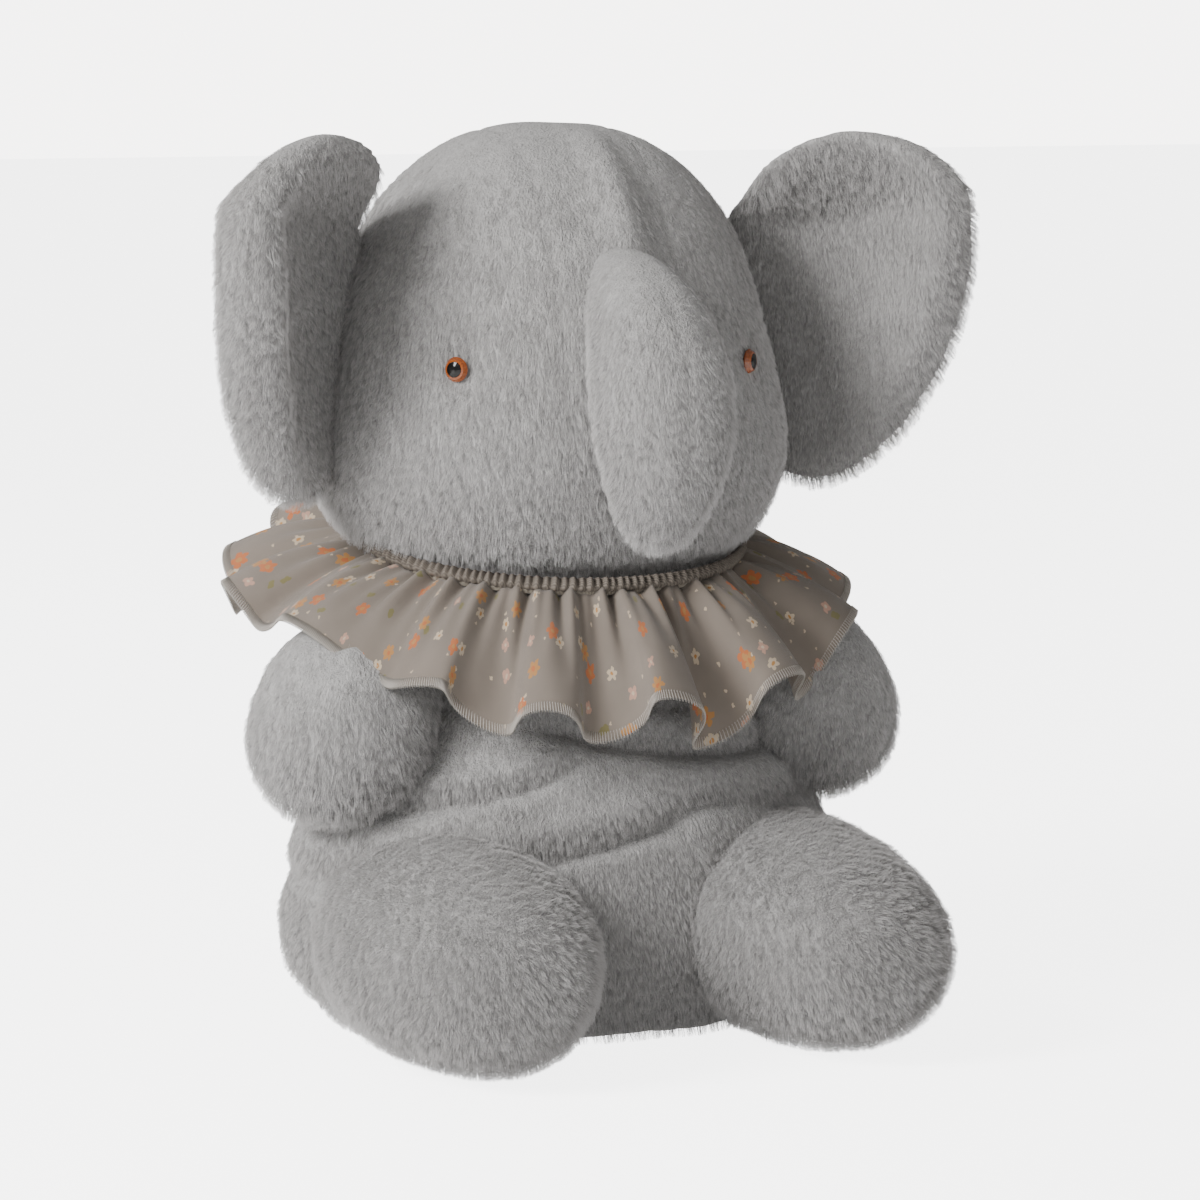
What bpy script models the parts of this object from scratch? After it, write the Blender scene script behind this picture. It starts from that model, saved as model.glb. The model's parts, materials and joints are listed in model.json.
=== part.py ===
"""A seated plush elephant, built the way it is sewn: fabric panels over stuffing, for each limb.

Metres, +Z up. The elephant faces -Y and sits on z = 0, with the origin under the middle of its
seat. Its own left side is +X. Every soft limb is a lobe: a closed rounded form that follows a
short spine. The lobe is cut along its seams into panels of pile fabric, and the stuffing is the
same lobe drawn in under the fabric. Where a limb turns in the head or the torso, the space that
it sweeps is cut out of them, which leaves the sewn opening of the real toy.
"""

import math

import bmesh
import bpy
from mathutils import Matrix, Quaternion, Vector

# Driving dimensions
SKIN = 0.0025            # pile fabric, backing and pressed pile together
STUFFING_GAP = 0.0010    # between the fabric and the stuffing
SEAM_GAP = 0.0009        # from a seam's plane to the edge of each panel
CLEARANCE = 0.0016       # round a limb, all through its travel
LEG_FLOOR = 0.001        # the legs rest a little above the seat, on their springs

HEAD_CENTRE_Z = 0.329
HEAD_HALF_HEIGHT = 0.109
GUSSET_HALF_WIDTH = 0.030
NECK_BALL_RADIUS = 0.034
NECK_PIVOT = Vector((0.0, 0.004, 0.2185))

# Closing power of each lobe: 1 is an ellipsoid, less is squarer
HEAD_BOXINESS = 0.78
BODY_BOXINESS = 0.62
LEG_BOXINESS = 0.62
ARM_BOXINESS = 0.85
TRUNK_BOXINESS = 0.8
TAIL_BOXINESS = 0.7
PELLET_BAG_BOXINESS = 0.5

SEAT_THICKNESS = 0.004
SEAT_HEM = 0.0012        # from the seat up to the edge of the side panels
SEAT_HALF_WIDTH = 0.098
SEAT_HALF_DEPTH = 0.070
SEAT_CENTRE_Y = -0.022

TRUNK_PIVOT = Vector((0.0, -0.116, 0.345))
EAR_PIVOT = Vector((0.098, 0.012, 0.345))
SHOULDER_PIVOT = Vector((0.104, -0.024, 0.178))
HIP_PIVOT = Vector((0.084, -0.052, 0.054))
TAIL_PIVOT = Vector((0.0, 0.078, 0.070))

ARM_SEAM_POINT = Vector((0.111, -0.036, 0.155))
ARM_SEAM_NORMAL = Vector((0.95, 0.0, 0.31))
LEG_SEAM_HEIGHT = 0.050
SIDE_SEAM_Y = -0.008

EYE_SITE = Vector((0.0745, -0.0755, 0.322))
EYE_FACING = Vector((0.72, -0.70, 0.02))
EYE_RADIUS = 0.0060
PUPIL_RADIUS = 0.0036
EYE_DOME = 0.0032
EYE_STEM_RADIUS = 0.0018
EYE_STEM_LENGTH = 0.014
WASHER_RADIUS = 0.0075
WASHER_THICKNESS = 0.0016
WASHER_DEPTH = 0.0048              # behind the face of the fabric
EYE_SEAT_DEPTH = 0.0006            # how far the eye presses into the fabric
MOULDED_GAP = 0.0002               # between the parts of one eye
EYE_SPACE_GAP = 0.0003             # round the eye's parts

COLLAR_CENTRE = Vector((0.0, 0.0, 0.2290))
COLLAR_TILT = math.radians(8)      # the ring dips at the front
COLLAR_NECK_RADIUS = 0.0965
COLLAR_HEM_RADIUS = 0.164
COLLAR_FOLDS = 14
COLLAR_CLOTH = 0.0012
COLLAR_FOLD_DEPTH = 0.007
COLLAR_DROP = 0.027
ELASTIC_RADIUS = 0.0022
ELASTIC_INSET = 0.0042             # from the frill's inner edge in to the elastic

# Room for each joint, in degrees, as the sewn toy gives way; an ear uses 16 of its 18
TRUNK_LIFT = (-5, 22)
EAR_FLAP = (-18, 18)
ARM_SWING = (-20, 20)
LEG_LIFT = (-4, 8)
TAIL_WAG = (-25, 25)

# Colours: linear red, green, blue
PLUSH_GREY = (0.38, 0.37, 0.365, 1)
BACKING_GREY = (0.33, 0.32, 0.315, 1)
STUFFING_WHITE = (0.82, 0.82, 0.80, 1)
PELLET_BAG_CREAM = (0.70, 0.66, 0.58, 1)
COTTON_TAUPE = (0.235, 0.205, 0.165, 1)
ELASTIC_TAUPE = (0.26, 0.23, 0.19, 1)
AMBER = (0.42, 0.115, 0.02, 1)
BLACK = (0.008, 0.008, 0.008, 1)
NATURAL_PLASTIC = (0.75, 0.75, 0.72, 1)

X_AXIS = Vector((1, 0, 0))
Y_AXIS = Vector((0, 1, 0))
Z_AXIS = Vector((0, 0, 1))
SIDES = {"left": 1, "right": -1}

# A lobe's stations, from one end to the other: centre x, y, z, then half its width and depth.
HEAD_STATIONS = [
    (0, -0.004, HEAD_CENTRE_Z - HEAD_HALF_HEIGHT, 0.138, 0.128),
    (0, -0.004, HEAD_CENTRE_Z - HEAD_HALF_HEIGHT / 2, 0.128, 0.121),
    (0, -0.002, HEAD_CENTRE_Z, 0.110, 0.107),
    (0, 0.000, HEAD_CENTRE_Z + HEAD_HALF_HEIGHT / 2, 0.106, 0.100),
    (0, 0.002, HEAD_CENTRE_Z + HEAD_HALF_HEIGHT, 0.104, 0.098),
]
TORSO_STATIONS = [
    (0, -0.022, -0.020, 0.150, 0.106),
    (0, -0.022, 0.038, 0.154, 0.107),
    (0, -0.014, 0.097, 0.131, 0.096),
    (0, 0.000, 0.155, 0.100, 0.082),
    (0, 0.006, 0.213, 0.084, 0.074),
]
LEG_STATIONS = [
    (0.080, 0.006, 0.054, 0.056, 0.050),
    (0.084, -0.050, 0.054, 0.059, 0.052),
    (0.087, -0.104, 0.053, 0.060, 0.052),
    (0.088, -0.158, 0.051, 0.059, 0.051),
    (0.088, -0.210, 0.048, 0.056, 0.049),
]
ARM_STATIONS = [
    (0.094, -0.016, 0.200, 0.034, 0.036),
    (0.104, -0.024, 0.176, 0.040, 0.042),
    (0.117, -0.032, 0.152, 0.044, 0.046),
    (0.127, -0.038, 0.128, 0.045, 0.047),
    (0.133, -0.042, 0.104, 0.042, 0.043),
]
TRUNK_STATIONS = [
    (0, -0.094, 0.357, 0.021, 0.022),
    (0, -0.131, 0.350, 0.027, 0.028),
    (0, -0.150, 0.322, 0.030, 0.032),
    (0, -0.151, 0.284, 0.030, 0.031),
    (0, -0.140, 0.243, 0.026, 0.026),
]
TAIL_STATIONS = [
    (0, 0.070, 0.073, 0.008, 0.008),
    (0, 0.086, 0.066, 0.008, 0.008),
    (0, 0.097, 0.054, 0.008, 0.008),
    (0, 0.103, 0.040, 0.009, 0.009),
    (0, 0.105, 0.026, 0.010, 0.010),
]
PELLET_STATIONS = [
    (0, 0.028, 0.0052, 0.052, 0.015),
    (0, 0.029, 0.0180, 0.056, 0.017),
    (0, 0.030, 0.0340, 0.050, 0.016),
]

# The ear: a cupped pad, in its own directions (out from the head, up) about its middle
EAR_LENGTH = 0.136
EAR_HEIGHT = 0.180
EAR_THICKNESS = 0.040
EAR_MIDDLE_Z = 0.343
EAR_ROOT_ANGLE = math.radians(28)   # forward of sideways, where it leaves the head
EAR_CUP_ANGLE = math.radians(50)    # how much further forward it points at its rim
EAR_UPPER_BULGE = 0.17
EAR_LEAN = 0.018
EAR_TUCK = 0.006                    # how far the root reaches into the head
EAR_SEAM_GAP = 0.0026               # the rim's shells lean over their seam


def clear_scene():
    """Removes every object of the scene."""
    for obj in list(bpy.data.objects):
        bpy.data.objects.remove(obj, do_unlink=True)


def new_collection(name):
    """A collection under the scene's own."""
    collection = bpy.data.collections.new(name)
    bpy.context.scene.collection.children.link(collection)
    return collection


def material(name, colour, roughness, sheen=0.0):
    """A Principled material; sheen is the soft edge light of pile fabric."""
    found = bpy.data.materials.get(name)
    if found:
        return found
    made = bpy.data.materials.new(name)
    made.use_nodes = True
    shader = made.node_tree.nodes["Principled BSDF"]
    shader.inputs["Base Color"].default_value = colour
    shader.inputs["Roughness"].default_value = roughness
    shader.inputs["Metallic"].default_value = 0.0
    shader.inputs["Sheen Weight"].default_value = sheen
    made.diffuse_color = colour
    return made


def plush():
    return material("plush_pile", PLUSH_GREY, 0.9, 0.5)


def plush_backed():
    return material("plush_under", BACKING_GREY, 0.95, 0.3)


def fibre():
    return material("polyester_fibre", STUFFING_WHITE, 1.0)


def mesh_object(name, bm, collection, look=None):
    """The bmesh as a smooth shaded object. It frees the bmesh."""
    mesh = bpy.data.meshes.new(name)
    bm.to_mesh(mesh)
    bm.free()
    mesh.shade_smooth()
    obj = bpy.data.objects.new(name, mesh)
    collection.objects.link(obj)
    if look:
        mesh.materials.append(look)
    return obj


def along(values, t):
    """A smooth value at t, from 0 to 1, through evenly spaced values (Catmull-Rom)."""
    last = len(values) - 1
    place = min(max(t, 0.0), 1.0) * last
    i = min(int(place), last - 1)
    f = place - i
    before = values[i - 1] if i > 0 else 2 * values[i] - values[i + 1]
    after = values[i + 2] if i + 2 <= last else 2 * values[i + 1] - values[i]
    a, b = values[i], values[i + 1]
    return 0.5 * (
        2 * a
        + (b - before) * f
        + (2 * before - 5 * a + 4 * b - after) * f**2
        + (3 * a - before - 3 * b + after) * f**3
    )


def face_out(bm):
    """Turns a closed form's faces outward."""
    bm.normal_update()
    if bm.calc_volume(signed=True) < 0:
        bmesh.ops.reverse_faces(bm, faces=bm.faces)
    return bm


def lobe(stations, side=1, segments=16, rings=10, boxiness=0.9):
    """A closed rounded form along its stations, as a bmesh. side -1 makes its mirror image."""
    centres = [Vector((side * x, y, z)) for x, y, z, _, _ in stations]
    widths = [station[3] for station in stations]
    depths = [station[4] for station in stations]
    bm = bmesh.new()
    bmesh.ops.create_uvsphere(bm, u_segments=segments, v_segments=rings, radius=1)
    for vert in bm.verts:
        height = min(max(vert.co.z, -1.0), 1.0)
        turn = math.atan2(vert.co.y, vert.co.x)
        closing = math.sqrt(max(0.0, 1 - height**2)) ** boxiness
        t = (height + 1) / 2
        ahead = along(centres, min(t + 0.02, 1.0)) - along(centres, max(t - 0.02, 0.0))
        tangent = ahead.normalized()
        across = (X_AXIS - X_AXIS.dot(tangent) * tangent).normalized()
        over = tangent.cross(across)
        vert.co = (
            along(centres, t)
            + across * (along(widths, t) * closing * math.cos(turn))
            + over * (along(depths, t) * closing * math.sin(turn))
        )
    return face_out(bm)


def ear_lobe(side, face="both", segments=18, rings=8):
    """The ear: a flattened ball whose poles are the middles of its front and back faces."""
    bm = bmesh.new()
    bmesh.ops.create_uvsphere(bm, u_segments=segments, v_segments=rings, radius=1)
    if face != "both":
        kept = 1 if face == "front" else -1
        other = [f for f in bm.faces if f.calc_center_median().z * kept < 0]
        bmesh.ops.delete(bm, geom=other, context="FACES")
        for vert in bm.verts:
            if vert.is_boundary:
                vert.co.z = kept * EAR_SEAM_GAP / (EAR_THICKNESS / 2)
    for vert in bm.verts:
        out, up, through = vert.co.x, vert.co.y, vert.co.z
        rim = max(1e-9, math.hypot(out, up)) ** 0.25
        out, up = out / rim * rim**0.4, up / rim * rim**0.4
        reach = (out + 1) / 2 * (1 + EAR_UPPER_BULGE * up)
        angle = EAR_ROOT_ANGLE + EAR_CUP_ANGLE * reach / 2
        way = Vector((math.cos(angle), -math.sin(angle), 0))
        facing_angle = EAR_ROOT_ANGLE + EAR_CUP_ANGLE * reach
        facing = Vector((-math.sin(facing_angle), -math.cos(facing_angle), 0))
        vert.co = (
            Vector((EAR_PIVOT.x, EAR_PIVOT.y, EAR_MIDDLE_Z))
            + way * (EAR_LENGTH * reach - EAR_TUCK)
            + facing * (through * EAR_THICKNESS / 2)
            + Z_AXIS * (up * EAR_HEIGHT / 2 + EAR_LEAN * (reach - 0.5))
        )
        vert.co.x *= side
    if side < 0:
        bmesh.ops.reverse_faces(bm, faces=bm.faces)
    return bm


def draw_in(bm, distance):
    """Moves every vertex inward along its normal."""
    bm.normal_update()
    moves = [(vert, vert.normal * distance) for vert in bm.verts]
    for vert, move in moves:
        vert.co -= move


def rest_on(bm, height):
    """Presses the form flat where it would go below this height."""
    for vert in bm.verts:
        vert.co.z = max(vert.co.z, height)


def keep_side(bm, point, normal, gap=SEAM_GAP):
    """Keeps what lies beyond the plane, on the side its normal points to, less the seam gap."""
    bmesh.ops.bisect_plane(
        bm,
        geom=bm.verts[:] + bm.edges[:] + bm.faces[:],
        plane_co=point + normal * gap,
        plane_no=normal,
        clear_inner=True,
    )


def panel(name, bm, planes, collection, look):
    """One cut piece of fabric: the part of the open surface beyond each plane, as a shell."""
    for point, normal in planes:
        keep_side(bm, point, normal)
    obj = mesh_object(name, bm, collection, look)
    shell = obj.modifiers.new("fabric", "SOLIDIFY")
    shell.thickness = SKIN
    shell.offset = -1
    shell.use_even_offset = True
    return obj


def stuffing(name, bm, collection, floor=0.0):
    """The same form drawn in under its fabric, as one solid."""
    draw_in(bm, SKIN + STUFFING_GAP)
    rest_on(bm, floor)
    return mesh_object(name, bm, collection, fibre())


def sweep_cutter(name, bm, pivot, axis, travel, cutters):
    """A closed hull of the limb at each angle of its travel, with clearance round it."""
    draw_in(bm, -CLEARANCE)
    points = [vert.co.copy() for vert in bm.verts]
    bm.free()
    steps = 3
    hull = bmesh.new()
    for step in range(steps):
        angle = travel[0] + (travel[1] - travel[0]) * step / (steps - 1)
        turn = Quaternion(axis, math.radians(angle))
        for point in points:
            hull.verts.new(pivot + turn @ (point - pivot))
    result = bmesh.ops.convex_hull(hull, input=hull.verts)
    inside = [v for v in result["geom_interior"] if isinstance(v, bmesh.types.BMVert)]
    bmesh.ops.delete(hull, geom=inside, context="VERTS")
    return as_cutter(mesh_object(name, face_out(hull), cutters))


def as_cutter(obj):
    """Marks a helper that shapes other pieces and is no piece itself."""
    obj.hide_render = True
    obj.display_type = "WIRE"
    return obj


def cut(obj, *cutters):
    """Takes each cutter's space out of the object."""
    for cutter in cutters:
        boolean = obj.modifiers.new("clear_" + cutter.name, "BOOLEAN")
        boolean.operation = "DIFFERENCE"
        boolean.solver = "EXACT"
        boolean.object = cutter


def turned(name, profile, collection, look, steps=20):
    """A turned piece about its own Z, from a profile that runs down its outer side."""
    bm = bmesh.new()
    verts = [bm.verts.new((radius, 0, height)) for radius, height in profile]
    for a, b in zip(verts, verts[1:]):
        bm.edges.new((a, b))
    obj = mesh_object(name, bm, collection, look)
    screw = obj.modifiers.new("turn", "SCREW")
    screw.steps = steps
    screw.render_steps = steps
    screw.use_merge_vertices = True
    screw.merge_threshold = 0.00001
    return obj


def place_along(obj, point, direction):
    """Puts the object's origin at the point, with its own Z along the direction."""
    obj.location = point
    obj.rotation_mode = "QUATERNION"
    obj.rotation_quaternion = direction.to_track_quat("Z", "Y")


def pivot_empty(name, point, collection):
    """The empty that a moving limb turns with, on its joint's axis."""
    empty = bpy.data.objects.new(name, None)
    empty.empty_display_size = 0.02
    empty.location = point
    collection.objects.link(empty)
    return empty


def hang_on(empty, *objects):
    """Parents the objects to the empty and leaves them where they are."""
    for obj in objects:
        obj.parent = empty
        obj.matrix_parent_inverse = Matrix.Translation(empty.location).inverted()


def mirrored(vector, side):
    """The vector on this side of the toy."""
    return Vector((side * vector.x, vector.y, vector.z))


def head_lobe():
    return lobe(HEAD_STATIONS, segments=24, rings=14, boxiness=HEAD_BOXINESS)


def torso_lobe():
    bm = lobe(TORSO_STATIONS, segments=24, rings=14, boxiness=BODY_BOXINESS)
    rest_on(bm, SEAT_THICKNESS + LEG_FLOOR)
    return bm


def leg_lobe(side):
    bm = lobe(LEG_STATIONS, side, segments=16, rings=10, boxiness=LEG_BOXINESS)
    rest_on(bm, LEG_FLOOR)
    return bm


def arm_lobe(side):
    return lobe(ARM_STATIONS, side, segments=14, rings=9, boxiness=ARM_BOXINESS)


def trunk_lobe():
    return lobe(TRUNK_STATIONS, segments=14, rings=10, boxiness=TRUNK_BOXINESS)


def tail_lobe():
    return lobe(TAIL_STATIONS, segments=10, rings=7, boxiness=TAIL_BOXINESS)


def eye_direction(side):
    """Outward from the face at the eye."""
    return mirrored(EYE_FACING, side).normalized()


def build_head(parts, cutters):
    """Two side panels, the centre gusset that runs over the head, and the stuffing."""
    pieces = []
    for side_name, side in SIDES.items():
        plane = (Vector((side * GUSSET_HALF_WIDTH, 0, 0)), X_AXIS * side)
        pieces.append(panel("head_side_panel_" + side_name, head_lobe(), [plane], parts, plush()))
    planes = [(Vector((side * GUSSET_HALF_WIDTH, 0, 0)), -X_AXIS * side) for side in SIDES.values()]
    pieces.append(panel("head_centre_gusset", head_lobe(), planes, parts, plush()))
    pieces.append(stuffing("head_stuffing", head_lobe(), parts))
    trunk_travel = (-TRUNK_LIFT[1], -TRUNK_LIFT[0])
    trunk_space = sweep_cutter(
        "trunk_sweep", trunk_lobe(), TRUNK_PIVOT, X_AXIS, trunk_travel, cutters
    )
    neck_space = neck_ball("neck_space", NECK_BALL_RADIUS + CLEARANCE, cutters)
    as_cutter(neck_space)
    for piece in pieces:
        cut(piece, trunk_space, neck_space)
    for side_name, side in SIDES.items():
        ear_space = sweep_cutter(
            "ear_sweep_" + side_name,
            ear_lobe(side),
            mirrored(EAR_PIVOT, side),
            Z_AXIS,
            EAR_FLAP,
            cutters,
        )
        eye_space = eye_cutter(side_name, side, cutters)
        for piece in pieces:
            if piece.name.endswith(side_name) or piece.name == "head_stuffing":
                cut(piece, ear_space, eye_space)
    return pieces


def eye_cutter(side_name, side, cutters):
    """The hole through the fabric and the space for the washer behind it."""
    depth = EYE_STEM_LENGTH + 0.002
    washer_front = -WASHER_DEPTH + 2 * EYE_SPACE_GAP
    seat = -EYE_SEAT_DEPTH - 0.0004
    rim = EYE_RADIUS + EYE_SPACE_GAP
    stem = EYE_STEM_RADIUS + EYE_SPACE_GAP
    washer = WASHER_RADIUS + EYE_SPACE_GAP
    profile = [
        (0, EYE_DOME + 0.010),
        (rim, EYE_DOME + 0.010),
        (rim, seat),
        (stem, seat),
        (stem, washer_front),
        (washer, washer_front),
        (washer, -depth),
        (0, -depth),
    ]
    obj = turned("eye_space_" + side_name, profile, cutters, None, steps=16)
    place_along(obj, mirrored(EYE_SITE, side), eye_direction(side))
    return as_cutter(obj)


def build_eyes(parts):
    """Safety eyes: an amber iris ring on a black core with a stem, held by a washer inside."""
    made = []
    bore = PUPIL_RADIUS + MOULDED_GAP
    stem_hole = EYE_STEM_RADIUS + MOULDED_GAP
    washer_front = -WASHER_DEPTH
    washer_back = washer_front - WASHER_THICKNESS
    for side_name, side in SIDES.items():
        iris_profile = [
            (bore, EYE_DOME * 0.80),
            (PUPIL_RADIUS + 0.0011, EYE_DOME * 0.66),
            (EYE_RADIUS - 0.0005, EYE_DOME * 0.30),
            (EYE_RADIUS, 0.0002),
            (EYE_RADIUS - 0.0002, -EYE_SEAT_DEPTH),
            (bore, -EYE_SEAT_DEPTH),
            (bore, EYE_DOME * 0.80),
        ]
        core_profile = [
            (0, EYE_DOME),
            (PUPIL_RADIUS * 0.5, EYE_DOME * 0.96),
            (PUPIL_RADIUS, EYE_DOME * 0.80),
            (PUPIL_RADIUS, -EYE_SEAT_DEPTH),
            (EYE_STEM_RADIUS, -EYE_SEAT_DEPTH),
            (EYE_STEM_RADIUS, -EYE_STEM_LENGTH),
            (0, -EYE_STEM_LENGTH),
        ]
        washer_profile = [
            (stem_hole, washer_front),
            (WASHER_RADIUS, washer_front),
            (WASHER_RADIUS, washer_back),
            (stem_hole, washer_back),
            (stem_hole, washer_front),
        ]
        amber = material("amber_plastic", AMBER, 0.12)
        black = material("black_plastic", BLACK, 0.08)
        natural = material("natural_plastic", NATURAL_PLASTIC, 0.5)
        trio = [
            turned("eye_iris_" + side_name, iris_profile, parts, amber),
            turned("eye_core_" + side_name, core_profile, parts, black, steps=16),
            turned("eye_washer_" + side_name, washer_profile, parts, natural, steps=16),
        ]
        for piece in trio:
            place_along(piece, mirrored(EYE_SITE, side), eye_direction(side))
        made += trio
    return made


def build_trunk(parts):
    """Two panels that meet in a seam down the front and back, and the stuffing."""
    pieces = [
        panel(
            "trunk_panel_" + side_name,
            trunk_lobe(),
            [(Vector((0, 0, 0)), X_AXIS * side)],
            parts,
            plush(),
        )
        for side_name, side in SIDES.items()
    ]
    pieces.append(stuffing("trunk_stuffing", trunk_lobe(), parts))
    return pieces


def build_ear(side_name, side, parts):
    """Front and back panels with a seam round the rim, and the wadding between them."""
    pieces = []
    for face_name in ("front", "back"):
        bm = ear_lobe(side, face_name)
        pieces.append(panel(f"ear_{face_name}_panel_{side_name}", bm, [], parts, plush()))
    pieces.append(stuffing("ear_wadding_" + side_name, ear_lobe(side), parts))
    return pieces


def build_arm(side_name, side, parts):
    """Inner and outer panels with a seam down the front and back, and the stuffing."""
    middle = mirrored(ARM_SEAM_POINT, side)
    outward = mirrored(ARM_SEAM_NORMAL, side).normalized()
    return [
        panel("arm_outer_panel_" + side_name, arm_lobe(side), [(middle, outward)], parts, plush()),
        panel("arm_inner_panel_" + side_name, arm_lobe(side), [(middle, -outward)], parts, plush()),
        stuffing("arm_stuffing_" + side_name, arm_lobe(side), parts),
    ]


def build_leg(side_name, side, parts):
    """Upper and under panels with a seam along both sides, and the stuffing."""
    middle = Vector((0, 0, LEG_SEAM_HEIGHT))
    return [
        panel("leg_upper_panel_" + side_name, leg_lobe(side), [(middle, Z_AXIS)], parts, plush()),
        panel("leg_under_panel_" + side_name, leg_lobe(side), [(middle, -Z_AXIS)], parts, plush()),
        stuffing("leg_stuffing_" + side_name, leg_lobe(side), parts),
    ]


def build_tail(parts):
    """A narrow sewn tube, open where it joins the back, and its stuffing."""
    mouth = Vector((0, TAIL_PIVOT.y - 0.0025, TAIL_PIVOT.z + 0.001))
    backward = Vector((0, 0.85, -0.53)).normalized()
    return [
        panel("tail_cover", tail_lobe(), [(mouth, backward)], parts, plush()),
        stuffing("tail_stuffing", tail_lobe(), parts),
    ]


def build_torso(parts, cutters):
    """Front and back panels, a flat seat, the stuffing and the pellet bag that weighs it down."""
    side_seam = Vector((0, SIDE_SEAM_Y, 0))
    lower_edge = Vector((0, 0, SEAT_THICKNESS + SEAT_HEM))
    front_planes = [(side_seam, -Y_AXIS), (lower_edge, Z_AXIS)]
    back_planes = [(side_seam, Y_AXIS), (lower_edge, Z_AXIS)]
    pieces = [
        panel("body_front_panel", torso_lobe(), front_planes, parts, plush()),
        panel("body_back_panel", torso_lobe(), back_planes, parts, plush()),
        stuffing("body_stuffing", torso_lobe(), parts, SEAT_THICKNESS + 0.006),
    ]
    neck_space = as_cutter(neck_ball("neck_seat_space", NECK_BALL_RADIUS + CLEARANCE, cutters))
    tail_space = sweep_cutter("tail_sweep", tail_lobe(), TAIL_PIVOT, Z_AXIS, TAIL_WAG, cutters)
    leg_spaces = []
    arm_spaces = []
    for side_name, side in SIDES.items():
        hip = mirrored(HIP_PIVOT, side)
        shoulder = mirrored(SHOULDER_PIVOT, side)
        leg_travel = (-LEG_LIFT[1], -LEG_LIFT[0])
        arm_travel = (-ARM_SWING[1], -ARM_SWING[0])
        leg, arm = leg_lobe(side), arm_lobe(side)
        leg_spaces.append(
            sweep_cutter("leg_sweep_" + side_name, leg, hip, X_AXIS, leg_travel, cutters)
        )
        arm_spaces.append(
            sweep_cutter("arm_sweep_" + side_name, arm, shoulder, X_AXIS, arm_travel, cutters)
        )
    for piece in pieces:
        cut(piece, neck_space, tail_space, *leg_spaces, *arm_spaces)
    cut(pieces[2], pellet_cutter(cutters))
    seat = build_seat(parts)
    cut(seat, *leg_spaces)
    return pieces + [seat, build_pellet_bag(parts)]


def build_seat(parts):
    """The flat base that the toy rests on."""
    bm = bmesh.new()
    size = Matrix.Diagonal((SEAT_HALF_WIDTH, SEAT_HALF_DEPTH, 1, 1))
    bmesh.ops.create_cone(
        bm,
        cap_ends=True,
        segments=28,
        radius1=0.985,
        radius2=1,
        depth=SEAT_THICKNESS,
        matrix=Matrix.Translation((0, SEAT_CENTRE_Y, SEAT_THICKNESS / 2)) @ size,
    )
    obj = mesh_object("body_seat_panel", bm, parts, plush_backed())
    obj.data.set_sharp_from_angle(angle=math.radians(40))
    return obj


def pellet_lobe():
    return lobe(PELLET_STATIONS, segments=16, rings=8, boxiness=PELLET_BAG_BOXINESS)


def build_pellet_bag(parts):
    look = material("pellet_bag_cotton", PELLET_BAG_CREAM, 0.9)
    return mesh_object("pellet_bag", pellet_lobe(), parts, look)


def pellet_cutter(cutters):
    """The bag's hollow in the stuffing, open downwards onto the seat."""
    bm = pellet_lobe()
    draw_in(bm, -2 * CLEARANCE)
    for vert in bm.verts:
        if vert.co.z < 0.012:
            vert.co.z -= 0.02
    return as_cutter(mesh_object("pellet_space", bm, cutters))


def neck_ball(name, radius, collection, look=None):
    bm = bmesh.new()
    bmesh.ops.create_uvsphere(
        bm, u_segments=20, v_segments=12, radius=radius, matrix=Matrix.Translation(NECK_PIVOT)
    )
    return mesh_object(name, bm, collection, look)


def collar_point(turn, across):
    """A point of the frill: turn round the neck, and across from its heading (0) to its hem (1)."""
    fold = math.cos(COLLAR_FOLDS * turn)
    radius = COLLAR_NECK_RADIUS + (COLLAR_HEM_RADIUS - COLLAR_NECK_RADIUS) * across
    radius += 0.35 * COLLAR_FOLD_DEPTH * across * fold
    height = -COLLAR_DROP * across + COLLAR_FOLD_DEPTH * across * fold
    return Vector((radius * math.cos(turn), radius * math.sin(turn), height))


def build_collar(parts):
    """The gathered frill and the elastic in its heading."""
    steps = COLLAR_FOLDS * 6
    rows = 3
    bm = bmesh.new()
    rings = [
        [bm.verts.new(collar_point(2 * math.pi * i / steps, row / (rows - 1))) for i in range(steps)]
        for row in range(rows)
    ]
    for inner, outer in zip(rings, rings[1:]):
        for i in range(steps):
            j = (i + 1) % steps
            bm.faces.new((inner[i], outer[i], outer[j], inner[j]))
    cotton = material("printed_cotton", COTTON_TAUPE, 0.85)
    frill = mesh_object("collar_frill", bm, parts, cotton)
    cloth = frill.modifiers.new("cloth", "SOLIDIFY")
    cloth.thickness = COLLAR_CLOTH
    cloth.offset = 0
    elastic = torus("collar_elastic", COLLAR_NECK_RADIUS - ELASTIC_INSET, ELASTIC_RADIUS, parts)
    for piece in (frill, elastic):
        piece.location = COLLAR_CENTRE
        piece.rotation_euler = (COLLAR_TILT, 0, 0)
    return [frill, elastic]


def torus(name, radius, thickness, collection):
    bpy.ops.mesh.primitive_torus_add(
        major_radius=radius, minor_radius=thickness, major_segments=40, minor_segments=6
    )
    obj = bpy.context.object
    obj.name = name
    obj.data.name = name
    obj.data.shade_smooth()
    obj.data.materials.append(material("elastic_braid", ELASTIC_TAUPE, 0.8))
    for old in list(obj.users_collection):
        old.objects.unlink(obj)
    collection.objects.link(obj)
    return obj


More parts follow.
